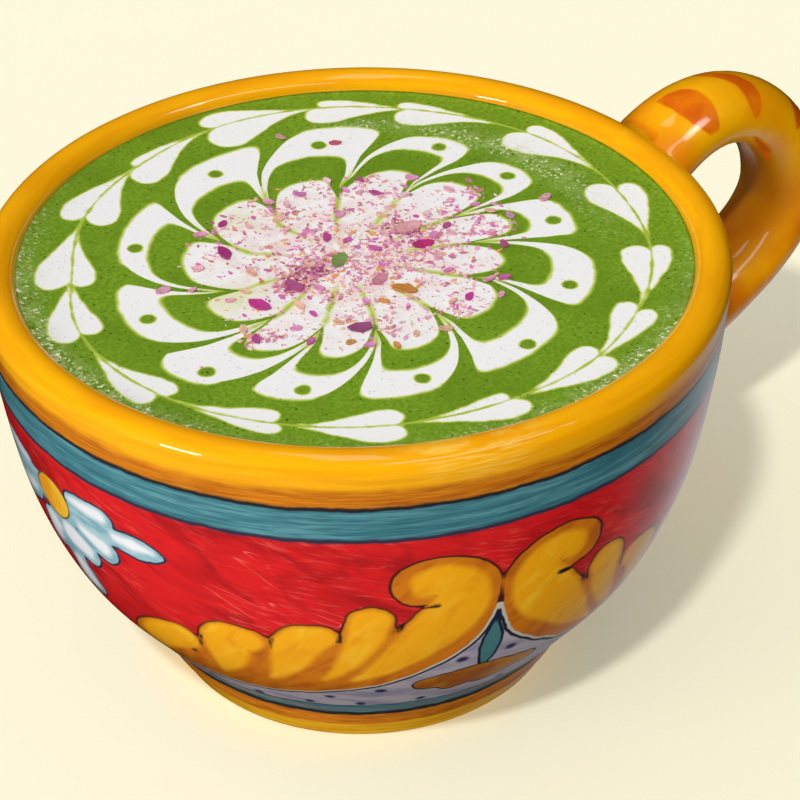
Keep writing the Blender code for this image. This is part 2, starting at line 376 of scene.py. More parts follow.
BRACKET = (
    ((9.1, 22.1, 2.2), (6.5, 22.1, 2.9), (2.9, 21.4, 4.3), (0.0, 22.1, 3.9)),
    ((3.4, 18.5, 1.6), (2.9, 21.1, 3.0)))
DOTS = (
    (4.1, 29.2), (16.9, 20.9), (26.4, 17.7), (8.6, 14.3), (20.6, 13.8), (30.9, 14.0), (41.7, 13.8),
    (52.6, 13.9), (64.4, 13.8), (76.2, 13.9))
LAVENDER_TOP = (
    (0.0, 43.0), (1.8, 41.5), (4.5, 38.5), (7.3, 36.0), (12.7, 32.5), (18.2, 29.0), (28.1, 25.0),
    (38.1, 22.0), (50.0, 20.5), (64.0, 20.0), (83.0, 19.0))
PETALS = (
    ((64.9, 52.5, 1.7), (61.9, 52.6, 2.1), (58.6, 52.9, 2.1)),
    ((56.3, 49.9, 1.8), (53.0, 50.1, 2.3), (50.0, 50.1, 1.5), (47.8, 50.1, 0.2)),
    ((63.9, 47.1, 1.9), (59.6, 45.8, 2.7)),
    ((67.4, 43.1, 3.4), (64.6, 42.2, 2.9)),
    ((68.7, 36.4, 2.4), (68.6, 32.5, 3.1)),
    ((72.9, 42.6, 2.9), (73.6, 39.8, 2.6)),
    ((77.5, 52.4, 1.8), (81.7, 52.6, 2.2)),
    ((77.4, 46.8, 2.2), (81.7, 45.2, 2.6)))
FLOWER_GREEN = (
    ((69.9, 48.1, 2.2), (63.6, 49.2, 2.4), (56.3, 49.9, 1.8)),
    ((69.9, 48.1, 3.0), (69.9, 42.6, 3.0), (69.2, 37.7, 2.6)),
    ((70.4, 49.8, 3.0), (81.7, 49.6, 2.6)))
EYE = (((70.3, 49.9, 3.7), (70.6, 49.9, 3.7)),)
# Orange strokes across the handle: mm along its line from the buried end, mm round its girth, half width
HANDLE_LEAF = (
    (24.0, 2.6, 0.3), (25.6, 0.6, 1.9), (26.2, -2.4, 2.5), (26.3, -5.2, 2.3), (26.6, -7.8, 1.6),
    (26.4, -9.9, 0.4))
HANDLE_BAND = (
    (-3.0, 6.5, 0.3), (-2.6, 3.0, 1.2), (-0.6, -0.6, 1.5), (0.6, -3.6, 1.5), (0.8, -7.6, 1.4),
    (0.1, -10.0, 0.4))
HANDLE_BANDS = (35.3, 46.2, 57.0, 68.0, 79.0, 90.0)
HANDLE_INSIDE = ((37.5, -13.4, 0.2), (41.0, -14.8, 0.6), (46.0, -16.0, 0.9), (51.0, -16.8, 0.5))


def brushed(u, z, path, smooth=True):
    """Distance in mm to the edge of a form brushed along a line of (u, z, half width)."""
    knots = np.array(path, dtype=float)
    if smooth:
        ends = np.vstack([2 * knots[0] - knots[1], knots, 2 * knots[-1] - knots[-2]])
        t = np.linspace(0, 1, 4, endpoint=False)[:, None]
        runs = [b + 0.5 * (c - a) * t + (a - 2.5 * b + 2 * c - 0.5 * d) * t ** 2
                + 0.5 * (3 * b - a - 3 * c + d) * t ** 3
                for a, b, c, d in zip(ends, ends[1:], ends[2:], ends[3:])]
        knots = np.vstack([*runs, knots[-1:]])
    edge = np.full(u.shape, 99.0)
    for (u0, z0, w0), (u1, z1, w1) in zip(knots, knots[1:]):
        du, dz = u1 - u0, z1 - z0
        t = np.clip(((u - u0) * du + (z - z0) * dz) / (du * du + dz * dz + 1e-9), 0, 1)
        edge = np.minimum(edge, np.hypot(u - u0 - du * t, z - z0 - dz * t) - (w0 + (w1 - w0) * t))
    return edge


def nearest(u, z, paths, smooth=True):
    return np.minimum.reduce([brushed(u, z, path, smooth) for path in paths])


def give_attribute(piece, name, values):
    """Store one number for each point of a piece, for its material to read."""
    made = piece.data.attributes.new(name, "FLOAT", "POINT")
    made.data.foreach_set("value", np.asarray(values, dtype=np.float32))


points = read_points(cup.data)
around = np.degrees(np.arctan2(points[:, 1], points[:, 0])) - MIRROR_BEARING
u = np.abs((around + 90) % 180 - 90) * 0.9076
z = points[:, 2] * 1000
from_axis = np.hypot(points[:, 0], points[:, 1])
on_wall = (from_axis - wall_radius(points[:, 2])) * 1000
give_attribute(cup, "off_wall", np.clip(on_wall, -5, 5))
turn = np.degrees(np.arctan2(points[:, 1], points[:, 0])) % 360
brush = cup.data.attributes.new("brush", "FLOAT_VECTOR", "POINT")
brush.data.foreach_set("vector", np.stack([turn, z, 0 * z], 1).astype(np.float32).ravel())
# Where each point of the handle lies: along the rod's line and round its girth
rod_line = np.array([(p.x, p.y) for p in line])
rod_travel = np.concatenate([[0.0], np.cumsum(np.hypot(*np.diff(rod_line, axis=0).T))]) * 1000
on_rod = np.flatnonzero((on_wall > 0.02) & (points[:, 0] > 0.04) & (np.abs(points[:, 1]) < 0.02))
to_line = points[on_rod][:, None, [0, 2]] - rod_line[None]
nearest_ring = (to_line ** 2).sum(axis=2).argmin(axis=1)
ahead = np.gradient(rod_line, axis=0)
ahead /= np.hypot(*ahead.T)[:, None]
from_line = to_line[np.arange(len(on_rod)), nearest_ring]
step = (from_line * ahead[nearest_ring]).sum(axis=1) * 1000
outward = from_line[:, 1] * ahead[nearest_ring, 0] - from_line[:, 0] * ahead[nearest_ring, 1]
along_rod = rod_travel[nearest_ring] + step
girth = np.arctan2(points[on_rod, 1], outward) * 6.9
bands = [[(s + middle, g, w) for s, g, w in HANDLE_BAND] for middle in HANDLE_BANDS]
strokes = nearest(along_rod, girth, [HANDLE_LEAF, HANDLE_INSIDE, *bands])
for field, values, empty in (("strokes", strokes, 9.0), ("along_rod", along_rod, 0.0),
                             ("girth", np.abs(girth), 0.0)):
    spread_out = np.full(len(points), empty)
    spread_out[on_rod] = values
    give_attribute(cup, field, spread_out)
give_attribute(cup, "scroll", np.minimum(brushed(u, z, CURL), nearest(u, z, LOBES)))
give_attribute(cup, "yellow", nearest(u, z, YELLOW_LEAVES))
give_attribute(cup, "notch", nearest(u, z, NOTCHES, False))
give_attribute(cup, "leaf", nearest(u, z, LEAF))
give_attribute(cup, "bracket", nearest(u, z, BRACKET, False))
give_attribute(cup, "dots", np.minimum.reduce([np.hypot((u - a) / 1.3, z - b) - 0.8 for a, b in DOTS]))
give_attribute(cup, "lavender", z - np.interp(u, *np.array(LAVENDER_TOP).T))
give_attribute(cup, "petals", nearest(u, z, PETALS + FLOWER_GREEN))
lights = [[(a + 0.2, b + 0.3, w - 1.1) for a, b, w in petal] for petal in PETALS]
give_attribute(cup, "petal_lights", nearest(u, z, lights, False))
give_attribute(cup, "eye", nearest(u, z, EYE, False))

glaze, tree, shader = new_material("painted_tin_glaze")
place = add_node(tree, "ShaderNodeTexCoord").outputs["Object"]
unrolled = add_node(tree, "ShaderNodeAttribute", attribute_name="brush").outputs["Vector"]
axes = add_node(tree, "ShaderNodeSeparateXYZ", {"Vector": place})
# Brush and glaze let every line waver by about a quarter of a millimetre over a few millimetres
waver = add_node(tree, "ShaderNodeTexNoise", {"Vector": place, "Scale": 260.0, "Detail": 2.0})
waver = add_node(tree, "ShaderNodeMath", {0: waver.outputs["Fac"], 1: 0.5}, operation="SUBTRACT").outputs[0]
waver = add_node(tree, "ShaderNodeMath", {0: waver, 1: 0.9}, operation="MULTIPLY").outputs[0]


def form(field):
    """A stored distance to a painted edge, wavering as a brushed one does."""
    kept = add_node(tree, "ShaderNodeAttribute", attribute_name=field).outputs["Fac"]
    return add_node(tree, "ShaderNodeMath", {0: kept, 1: waver}, operation="ADD").outputs[0]


def between(value, bare, full, fade="SMOOTHSTEP"):
    """A cover: nothing where a value is bare, one where it is full, and a fade between."""
    return add_node(tree, "ShaderNodeMapRange", {"Value": value, "From Min": bare, "From Max": full},
                    interpolation_type=fade).outputs["Result"]


def within(distance, edge, soft):
    """A cover of one inside an edge and nothing outside, fading over a soft width."""
    return between(distance, edge + soft, edge - soft)


def overlap(*covers):
    """The cover that is left where all of these covers lie."""
    joint = covers[0]
    for cover in covers[1:]:
        joint = add_node(tree, "ShaderNodeMath", {0: joint, 1: cover}, operation="MULTIPLY").outputs[0]
    return joint


def without(cover, *taken):
    """A cover with the place where some others overlap taken out of it."""
    rest = add_node(tree, "ShaderNodeMath", {0: 1.0, 1: overlap(*taken)}, operation="SUBTRACT").outputs[0]
    return overlap(cover, rest)


def lay(under, colour, *covers):
    """A colour laid over what is under it, as far as all its covers let it."""
    under, colour = (linear(c) if isinstance(c, str) else c for c in (under, colour))
    return add_node(tree, "ShaderNodeMix", {"Factor": overlap(*covers), 6: under, 7: colour},
                    data_type="RGBA").outputs[2]


def clouds(scale, low, high, detail=3.0, wander=0.0):
    """Soft patches from nothing to one, for where paint lies thicker."""
    noise = add_node(tree, "ShaderNodeTexNoise", {"Vector": place, "Scale": scale, "Detail": detail,
                                                  "Distortion": wander})
    return between(noise.outputs["Fac"], low, high)


def bristles(size, stretch, lean, detail, wander):
    """Noise drawn round the wall: size in marks per mm, longer by a stretch, leaning by degrees."""
    laid = unrolled
    for change in ({"Rotation": (0.0, 0.0, math.radians(lean))}, {"Scale": (1 / stretch, 1.0, 1.0)}):
        laid = add_node(tree, "ShaderNodeMapping", {"Vector": laid, **change}).outputs["Vector"]
    return add_node(tree, "ShaderNodeTexNoise", {"Vector": laid, "Scale": size, "Detail": detail,
                                                 "Distortion": wander}).outputs["Fac"]


def brush_marks(size, low, high, stretch, lean=0.0, detail=3.0, wander=0.0):
    """Streaks that a loaded brush leaves in the colour."""
    return between(bristles(size, stretch, lean, detail, wander), low, high)


def hairs(size, width, stretch, lean):
    """Thin pale scratches where the brush's hairs left the white glaze bare."""
    centre = add_node(tree, "ShaderNodeMath", {0: bristles(size, stretch, lean, 1.5, 0.15), 1: 0.5},
                      operation="SUBTRACT").outputs[0]
    centre = add_node(tree, "ShaderNodeMath", {0: centre}, operation="ABSOLUTE").outputs[0]
    return within(centre, width, width)


wheel_streaks = brush_marks(0.9, 0.38, 0.66, 16.0)
fine_streaks = brush_marks(2.6, 0.42, 0.66, 14.0, 0.0, 4.0)
# The ground: red brushed in arcs over the white glaze, and lavender under the scrolls
red = lay("#DD181C", "#B01016", brush_marks(0.16, 0.44, 0.66, 2.2, 28.0, 2.0, 0.8))
red = lay(red, "#C4141A", brush_marks(0.75, 0.45, 0.7, 5.0, 14.0, 3.0, 0.5), 0.7)
red = lay(red, "#F2564E", hairs(0.42, 0.006, 9.0, 14.0), brush_marks(0.12, 0.46, 0.62, 1.6), 0.4)
red = lay(red, "#F2968C", hairs(0.30, 0.004, 7.0, 24.0), brush_marks(0.10, 0.54, 0.64, 1.5), 0.6)
red = lay(red, "#EE4A44", brush_marks(1.6, 0.5, 0.68, 6.0, 14.0),
          brush_marks(0.12, 0.44, 0.64, 2.0, 20.0), 0.7)
low = within(form("lavender"), 0.0, 0.1)
paint = lay(red, lay("#BDB4BC", "#9C94AA", brush_marks(0.3, 0.4, 0.66, 4.0, 8.0)), low)
paint = lay(paint, "#3A3860", within(form("dots"), 0.0, 0.35), low)
# The flower: navy outline, blue body, white lights, orange eye
petals = form("petals")
paint = lay(paint, "#27304C", within(petals, 0.42, 0.15))
paint = lay(paint, lay("#7FAEBB", "#A8CBD6", brush_marks(0.5, 0.4, 0.65, 3.0)), within(petals, 0.0, 0.12))
paint = lay(paint, "#EEF0F4", within(form("petal_lights"), 0.1, 0.8))
eye = form("eye")
paint = lay(paint, "#6A5030", within(eye, 0.35, 0.15))
paint = lay(paint, lay("#F2A010", "#F6C02C", clouds(150.0, 0.4, 0.6)), within(eye, 0.0, 0.15))
# The scroll: a pale line and a navy one under it, a broken brown one over it, then ochre and yellow leaves
scroll = form("scroll")
paint = lay(paint, "#23263C", within(scroll, 1.05, 0.12), low)
paint = lay(paint, "#CDC8B8", within(scroll, 0.5, 0.12), low)
broken = clouds(110.0, 0.28, 0.42)
paint = lay(paint, "#4A1F1C", without(within(scroll, 0.42, 0.2), low), broken)
paint = lay(paint, lay("#D97C08", "#C0640A", brush_marks(0.4, 0.4, 0.7, 2.5, -40.0)),
            within(scroll, 0.0, 0.16))
yellow = lay("#FCAE02", "#FFC628", brush_marks(0.25, 0.46, 0.74, 2.2, -50.0, 3.0, 0.8), 0.8)
yellow = lay(yellow, "#EC9604", brush_marks(0.35, 0.5, 0.76, 2.5, -50.0, 3.0, 0.8), 0.6)
paint = lay(paint, yellow, within(form("yellow"), 0.15, 0.8))
paint = lay(paint, "#2B201E", within(form("notch"), 0.0, 0.25), broken)
leaf = form("leaf")
paint = lay(paint, "#22293F", within(leaf, 0.5, 0.12))
paint = lay(paint, "#4C8288", within(leaf, 0.0, 0.12))
bracket = form("bracket")
paint = lay(paint, "#22293F", within(bracket, 0.4, 0.12))
paint = lay(paint, lay("#C9861A", "#AD5C16", clouds(110.0, 0.42, 0.6)), within(bracket, 0.0, 0.15))
# The turned bands, each given by its edge in mm over the base: first those under the painting, downwards
height = add_node(tree, "ShaderNodeMath", {0: axes.outputs["Z"], 1: 1000.0},
                  operation="MULTIPLY").outputs[0]
height = add_node(tree, "ShaderNodeMath", {0: height, 1: waver}, operation="SUBTRACT").outputs[0]
teal = lay(lay("#3C7A86", "#5F9CA6", wheel_streaks), "#2C5F6C", fine_streaks, 0.6)
foot_yellow = lay("#FFC014", "#EFA410", wheel_streaks)
ochre = lay(lay("#CE7404", "#B05A04", wheel_streaks), "#E89A20", fine_streaks, 0.5)
for edge, colour, soft in ((12.9, "#4E5570", 0.12), (12.5, teal, 0.12), (8.5, "#2C2B2A", 0.12),
                           (7.5, ochre, 0.2), (4.3, foot_yellow, 0.4)):
    paint = lay(paint, colour, within(height, edge, soft))
# Then those over it, upwards; on the lip's side toward the camera, pale streaks of painted highlight run
# through its yellow
side_on = add_node(tree, "ShaderNodeVectorMath", {0: place, 1: (600.0, 800.0, 0.0)},
                   operation="DOT_PRODUCT")
highlit_near_side = between(side_on.outputs["Value"], -43.0, -53.0)
# Painted highlight: pale yellow streaks laid only on the lip's side toward the camera
lip_yellow = lay(lay("#FFB400", "#F7A600", wheel_streaks), "#FFD860", fine_streaks,
                 brush_marks(0.09, 0.5, 0.66, 4.0), highlit_near_side, 0.6)
for edge, colour, soft in ((59.5, "#37334A", 0.18), (60.3, teal, 0.3), (65.8, "#29292C", 0.18),
                           (66.6, ochre, 0.3), (69.7, lip_yellow, 1.1)):
    paint = lay(paint, colour, between(height, edge - soft, edge + soft))
# The handle is lip yellow with orange strokes across it and orange at its root; its lower half has patches
# of deeper orange, partly paint and partly painted shade, and its inner face is brown with painted shade
handle_paint = lay("#FFB600", "#F7A000", clouds(90.0, 0.42, 0.66))
travel, girth, off_wall = (add_node(tree, "ShaderNodeAttribute", attribute_name=field).outputs["Fac"]
                           for field in ("along_rod", "girth", "off_wall"))
travel = add_node(tree, "ShaderNodeMath", {0: waver, 1: 3.0, 2: travel},
                  operation="MULTIPLY_ADD").outputs[0]
handle_paint = lay(handle_paint, "#FF8A00", within(travel, 20.0, 3.2), 0.8)
# Deeper orange patches on the lower half, partly paint and partly painted shade
handle_paint = lay(handle_paint, "#D97400", between(travel, 50.0, 74.0), clouds(60.0, 0.35, 0.62))
# Painted shade: brown on the handle's inner face, where the cup shadows it
handle_paint = lay(handle_paint, "#8A4404", between(girth, 10.0, 19.0), between(travel, 35.0, 53.0), 0.8)
handle_paint = lay(handle_paint, lay("#F07C00", "#DC5E00", clouds(140.0, 0.4, 0.6)),
                   within(form("strokes"), 0.0, 0.3), 0.95)
paint = lay(paint, handle_paint, between(off_wall, 0.05, 0.35, "LINEAR"))
tree.links.new(paint, shader.inputs["Base Color"])
shader.inputs["Roughness"].default_value = 0.4
shader.inputs["Specular IOR Level"].default_value = 0.1
shader.inputs["Coat Weight"].default_value = 0.9
shader.inputs["Coat Roughness"].default_value = 0.05
# Orange-peel and brush ridges a few hundredths of a millimetre deep
ripple = add_node(tree, "ShaderNodeTexNoise", {"Vector": place, "Scale": 180.0, "Detail": 2.0})
bump = add_node(tree, "ShaderNodeBump", {"Height": ripple.outputs["Fac"], "Strength": 0.25,
                                         "Distance": 0.0002})
tree.links.new(bump.outputs["Normal"], shader.inputs["Normal"])
tree.links.new(bump.outputs["Normal"], shader.inputs["Coat Normal"])
cup.data.materials.clear()
cup.data.materials.append(glaze)
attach(cup, "root")
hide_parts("cup")

# The drink is whisked matcha under a thin sheet of fine foam, with milk foam drawn through it by a
# pin. It fills the cup and climbs a hair up the glaze at its edge.
FOAM_EDGE = 0.05402
foam_line = np.array([(0.0003, 0.0100), (0.0250, 0.0112), (0.0440, 0.0300), (0.0500, 0.0480),
                      (0.0526, 0.0620), (0.0538, 0.0715)])
top_line = np.stack([np.linspace(0.0003, FOAM_EDGE, 120), np.full(120, DRINK_LEVEL)], 1)
drink = turned_solid("matcha_and_milk_foam", np.concatenate([top_line, foam_line[::-1]]), 480)
drink.data.shade_smooth()

# The marbling: rings of matcha and milk foam drawn in towards the middle by a pin, twelve times, and
# round them a chain of drops that one pin stroke has drawn into hearts. Bearings are in degrees in the
# drinker's view and distances in mm from the flower's middle.
FOAM_TURN = math.radians(36.63)
FLOWER_MIDDLE = (-1.6, -0.5)
PIN_STROKES = (
    ((2, 40.5), (6, 35.1), (8.5, 28.1), (10.5, 21.6)),
    ((31, 39.4), (31.5, 32.4), (33, 27), (34, 20.5)),
    ((53.5, 40), (56, 35.1), (59, 31.3), (62.5, 25.9), (64, 18.9)),
    ((77, 41), (80.5, 36.7), (84, 32.4), (87.5, 25.9), (91, 22.7), (97, 10.8)),
    ((105, 41), (111, 35.6), (117, 30.8), (122, 25.4), (127, 18.9), (135, 15.1)),
    ((142, 37.8), (148, 33.5), (153, 29.7), (158, 25.4), (165, 19.4), (172, 15.1)),
    ((186, 35.1), (193, 30.8), (198, 27), (203, 22.7), (208, 18.4)),
    ((221, 37.8), (227, 32.4), (230.5, 28.1), (234, 23.2), (237, 18.9)),
    ((244, 38.9), (249, 34), (253, 29.2), (257.5, 24.3), (260, 18.9)),
    ((268, 38.9), (272, 34.6), (276.5, 29.7), (280.5, 24.8), (284, 16.2)),
    ((296, 38.9), (301, 34.6), (305, 30.2), (308.5, 25.4), (310.5, 20.5)),
    ((332, 38.9), (336, 33.5), (340, 28.6), (343, 24.3), (341, 17.8)))
# After each stroke, at its near and far side: the milk ring's outer edge, its inner edge, the middle's edge
FLOWER_RINGS = (
    ((38.9, 38.9), (31.9, 31.9), (29.2, 29.2)), ((40, 40), (34.3, 34.3), (30, 30)),
    ((41.6, 41.6), (36.2, 36.2), (30.8, 27)), ((42.6, 42.6), (33, 33), (25.6, 25.4)),
    ((40.5, 38.9), (31.3, 31.3), (25.9, 25.9)), ((37.8, 36.7), (32.4, 31.6), (26.2, 26.2)),
    ((37.3, 39.1), (32.1, 30.8), (25.9, 25.9)), ((41.8, 41.8), (32.1, 32.1), (29.7, 29.7)),
    ((40.5, 40.5), (33.7, 33.7), (28.9, 28.9)), ((40.2, 40.2), (33.5, 33.5), (28.6, 28.6)),
    ((40, 40), (33.5, 33.5), (27.5, 27.5)), ((40.2, 40.2), (33.2, 33.2), (25.9, 25.9)))
FOAM_DOTS = (
    (16.5, 35.4), (42, 36.7), (65, 38.3), (96.5, 36.5), (128, 34.8), (172.5, 34), (208, 34.8),
    (235.8, 37.8), (259.6, 37.3), (288, 36.2), (316.8, 37.8), (345, 36.5))
# Each heart: the pin's bearing and distance at its cleft, outer and inner reach, bearings of its round ends
HEARTS = (
    (20, 48.9, 52.9, 43.2, 24.5, 27), (48, 50, 53.2, 43.7, 52, 54), (75, 49.4, 51.6, 44, 79, 79),
    (91.5, 49.4, 51.8, 44, 95, 98), (114, 48.6, 52.9, 41, 119, 120.5),
    (138, 46.2, 48.1, 40.2, 139, 143.5), (158, 45.1, 49.7, 39.7, 163, 163.5),
    (183, 43.5, 49.4, 39.7, 189, 189), (203.5, 45.4, 50, 41.6, 208, 207.5),
    (230, 46.4, 50.2, 42.9, 233, 235), (254, 46.4, 49.1, 43.2, 258, 257),
    (275.5, 46.7, 50.8, 42.7, 280, 280.5), (298, 47, 51.3, 44.8, 303, 301),
    (319.5, 48.1, 52.1, 44.3, 323, 324), (337.5, 48.3, 51.6, 44.6, 340, 341.5),
    (358, 48.9, 52.1, 44, 362, 362))
HEART_TAIL = 16.0


def degrees_past(bearing, mark):
    return (bearing - mark + 180) % 360 - 180


def seen_by_drinker(x, y):
    """Bearing in degrees and distance in mm from the flower's middle."""
    u = (x * math.cos(FOAM_TURN) - y * math.sin(FOAM_TURN)) * 1000 - FLOWER_MIDDLE[0]
    v = (x * math.sin(FOAM_TURN) + y * math.cos(FOAM_TURN)) * 1000 - FLOWER_MIDDLE[1]
    return np.degrees(np.arctan2(v, u)) % 360, np.hypot(u, v)


def flower_lines(bearing, reach):
    """Distance to the nearest pin stroke, with a sign, and to the three ring edges before the pin."""
    gaps = []
    for stroke in PIN_STROKES:
        marks, distances = np.array(stroke[::-1], dtype=float).T
        gaps.append(np.radians(degrees_past(bearing, np.interp(reach, distances, marks))) * reach * 0.94)
    gaps = np.array(gaps)
    count = len(PIN_STROKES)
    closest = np.abs(gaps).argmin(0)
    gap = np.take_along_axis(gaps, closest[None], 0)[0]
    petal = np.where(gap >= 0, closest, closest - 1) % count
    before = np.abs(np.take_along_axis(gaps, petal[None], 0)[0])
    after = np.abs(np.take_along_axis(gaps, ((petal + 1) % count)[None], 0)[0])
    near, far = np.moveaxis(np.array(FLOWER_RINGS, dtype=float)[petal], -1, 0)
    edges = near + (far - near) * (before / (before + after + 1e-6))[:, None]
    return gap * np.where(closest % 2, -1, 1), reach[:, None] - edges


def heart_lines(bearing, reach):
    """Distance to the nearest drop's edge, and to the pin's line through the chain."""
    knots = [(h[0] + turn, h[1], 0) for turn in (-360, 0, 360) for h in HEARTS]
    chain = smooth_through([k[:2] for k in knots], 6)
    off = reach - np.interp(bearing, chain[:, 0], chain[:, 1])
    edge = np.full(reach.shape, 9.0)
    for cleft, line, outer, inner, end_out, end_in in HEARTS:
        for side, limit, end in ((1, outer, end_out), (-1, inner, end_in)):
            full = abs(limit - line) / 2
            along = -np.radians(degrees_past(bearing, end - math.degrees(full * 1.1 / line))) * line
            tail = HEART_TAIL + full
            t = np.clip(along / tail, 0, 1)
            sway = full * (1 - t) ** 2.4 * (1 + 2.4 * t)
            width = full * (1 - t) ** 3 * (1 + 3 * t) + 0.2 * np.minimum(t * 6, 1) * (1 - t)
            flank = np.maximum(side * off - sway - width, 0.1 - side * off) * 0.9
            head = np.hypot(along / 1.1, off - side * full) - full
            drop = np.where(along > 0, flank, head)
            edge = np.minimum(edge, np.where(along > tail, np.hypot(along - tail, off), drop))
    return edge, off


def bump_on_arc(bearing, reach, middle, spread, distance, width):
    """A soft patch on an arc: one at its middle, falling to nothing over its spread."""
    return np.exp(-(degrees_past(bearing, middle) / spread) ** 2 - ((reach - distance) / width) ** 2)


points = read_points(drink.data)
bearing, reach = seen_by_drinker(points[:, 0], points[:, 1])
pin, rings = flower_lines(bearing, reach)
hearts, chain = heart_lines(bearing, reach)
u, v = reach * np.cos(np.radians(bearing)), reach * np.sin(np.radians(bearing))
DOT_RADIUS = 1.25
dots = [np.hypot(u - d * math.cos(math.radians(b)), v - d * math.sin(math.radians(b)))
        for b, d in FOAM_DOTS]
dots = np.minimum.reduce(dots) - DOT_RADIUS
from_wall = 54.0 - np.hypot(points[:, 0], points[:, 1]) * 1000
# Where the foam is bubbly froth, and where a sheen on it and glints off its wet bubbles are painted
froth_and_sheen = (np.exp(-(from_wall / 2.6) ** 2) * (1.3 * np.exp(-(degrees_past(bearing, 215) / 34) ** 2)
                                            + np.exp(-(degrees_past(bearing, 318) / 26) ** 2))
         + 0.7 * bump_on_arc(bearing, reach, 48, 26, 43.5, 2.6)
         + 0.4 * bump_on_arc(bearing, reach, 84, 9, 43.2, 1.6))
tinge = bump_on_arc(bearing, reach, 212, 9, 21, 4.5) + 0.6 * bump_on_arc(bearing, reach, 145, 10, 22, 4)
for name, values in (("pin", pin), ("milk_outer", rings[:, 0]), ("milk_inner", rings[:, 1]),
                     ("middle", rings[:, 2]), ("hearts", hearts), ("chain", chain), ("foam_dots", dots),
                     ("reach", reach), ("froth_and_sheen", froth_and_sheen), ("tinge", tinge)):
    give_attribute(drink, name, values)

# The foam rises a fraction of a millimetre where it clings to the glaze
top = points[:, 2] > DRINK_LEVEL - 1e-5
lift = 0.00035 * np.exp(-from_wall / 0.5)
points[:, 2] = np.where(top, points[:, 2] + lift, points[:, 2])
write_points(drink.data, points)

foam, tree, shader = new_material("whisked_matcha_foam")
place = add_node(tree, "ShaderNodeTexCoord").outputs["Object"]
waver = add_node(tree, "ShaderNodeTexNoise", {"Vector": place, "Scale": 420.0, "Detail": 2.0})
waver = add_node(tree, "ShaderNodeMath", {0: waver.outputs["Fac"], 1: 0.5}, operation="SUBTRACT").outputs[0]
waver = add_node(tree, "ShaderNodeMath", {0: waver, 1: 0.7}, operation="MULTIPLY").outputs[0]


def merged(*covers):
    """The cover that the strongest of these gives."""
    joint = covers[0]
    for cover in covers[1:]:
        joint = add_node(tree, "ShaderNodeMath", {0: joint, 1: cover}, operation="MAXIMUM").outputs[0]
    return joint


at_pin, at_reach, at_chain, at_froth_and_sheen, at_tinge, *ring_edges = (
    add_node(tree, "ShaderNodeAttribute", attribute_name=field).outputs["Fac"]
    for field in ("pin", "reach", "chain", "froth_and_sheen", "tinge", "milk_outer", "milk_inner", "middle"))
# The pin has drawn the rings in by 14 mm on its line, falling off in a millimetre, and by 2 mm beside it
pin_gap = add_node(tree, "ShaderNodeMath", {0: at_pin}, operation="ABSOLUTE").outputs[0]
drawn = 0.0
for depth, reach_aside in ((14.0, 0.95), (2.2, 3.5)):
    pull = add_node(tree, "ShaderNodeMath", {0: pin_gap, 1: -reach_aside}, operation="DIVIDE").outputs[0]
    pull = add_node(tree, "ShaderNodeMath", {0: pull}, operation="EXPONENT").outputs[0]
    drawn = add_node(tree, "ShaderNodeMath", {0: pull, 1: depth, 2: drawn},
                     operation="MULTIPLY_ADD").outputs[0]
drawn = add_node(tree, "ShaderNodeMath", {0: drawn, 1: between(at_reach, 12.0, 26.0), 2: waver},
                 operation="MULTIPLY_ADD").outputs[0]
EDGE_SOFT = 0.6
outer, inner, middle = (
    within(add_node(tree, "ShaderNodeMath", {0: edge, 1: drawn}, operation="ADD").outputs[0], 0.0, EDGE_SOFT)
    for edge in ring_edges)
chain_gap = add_node(tree, "ShaderNodeMath", {0: at_chain}, operation="ABSOLUTE").outputs[0]
drop = without(within(form("hearts"), 0.05, 0.38), within(chain_gap, 0.0, 0.34), 0.6)
thread = overlap(within(chain_gap, 0.25, 0.25), 0.45)
milk = merged(middle, without(outer, inner), drop, thread)
milk = without(milk, within(form("foam_dots"), 0.0, 0.35), 0.95)
# Inside the flower the pin's lines stay as thin blurred threads of green
wavering_gap = add_node(tree, "ShaderNodeMath", {0: pin_gap, 1: waver}, operation="ADD").outputs[0]
milk = without(milk, within(wavering_gap, 0.25, 0.75), between(at_reach, 6.0, 13.0, "LINEAR"),
               between(at_reach, 29.0, 24.0, "LINEAR"), clouds(160.0, 0.25, 0.5), 0.72)
matcha = lay("#6A9116", "#82AA26", clouds(1500.0, 0.3, 0.7, 4.0))
matcha = lay(matcha, "#668C14", clouds(90.0, 0.4, 0.7), 0.6)
# Milk thins to yellow green at its edge, over the matcha
edge_mix = add_node(tree, "ShaderNodeValToRGB", {"Fac": milk})
stops = edge_mix.color_ramp.elements
stops[0].color = linear("#7C9629")
stops[1].color = linear("#FAFBFD")
for at, colour in ((0.22, "#8FB02E"), (0.5, "#B5CC48"), (0.8, "#DFE8A4"), (0.93, "#F5F6EE")):
    stops.new(at).color = linear(colour)
paint = lay(edge_mix.outputs["Color"], matcha, within(milk, 0.1, 0.1))
# Petal dust has stained the flower's milk peach and pink, most of all in its middle
on_milk = between(milk, 0.7, 1.0, "LINEAR")
paint = lay(paint, lay("#F3CBB6", "#EDBAC4", clouds(420.0, 0.42, 0.6)), on_milk,
            between(at_reach, 29.0, 9.0, "LINEAR"), clouds(260.0, 0.36, 0.68, 3.0, 0.5), 0.6)
paint = lay(paint, "#E4EAA8", at_tinge, on_milk, 0.8)
# Pale bubbly froth, its paleness partly painted sheen, with painted glints of wet bubbles in it
glint_cover = add_node(tree, "ShaderNodeMath", {0: at_froth_and_sheen, 1: 1.8}, operation="MULTIPLY",
                  use_clamp=True).outputs[0]
# Partly painted sheen: paler froth
paint = lay(paint, "#BFD088", at_froth_and_sheen, clouds(700.0, 0.35, 0.6), 0.6)
# Painted glints: bright specks where wet bubbles catch the light
paint = lay(paint, "#F4F7DC", clouds(1500.0, 0.56, 0.64), clouds(300.0, 0.40, 0.56), glint_cover)
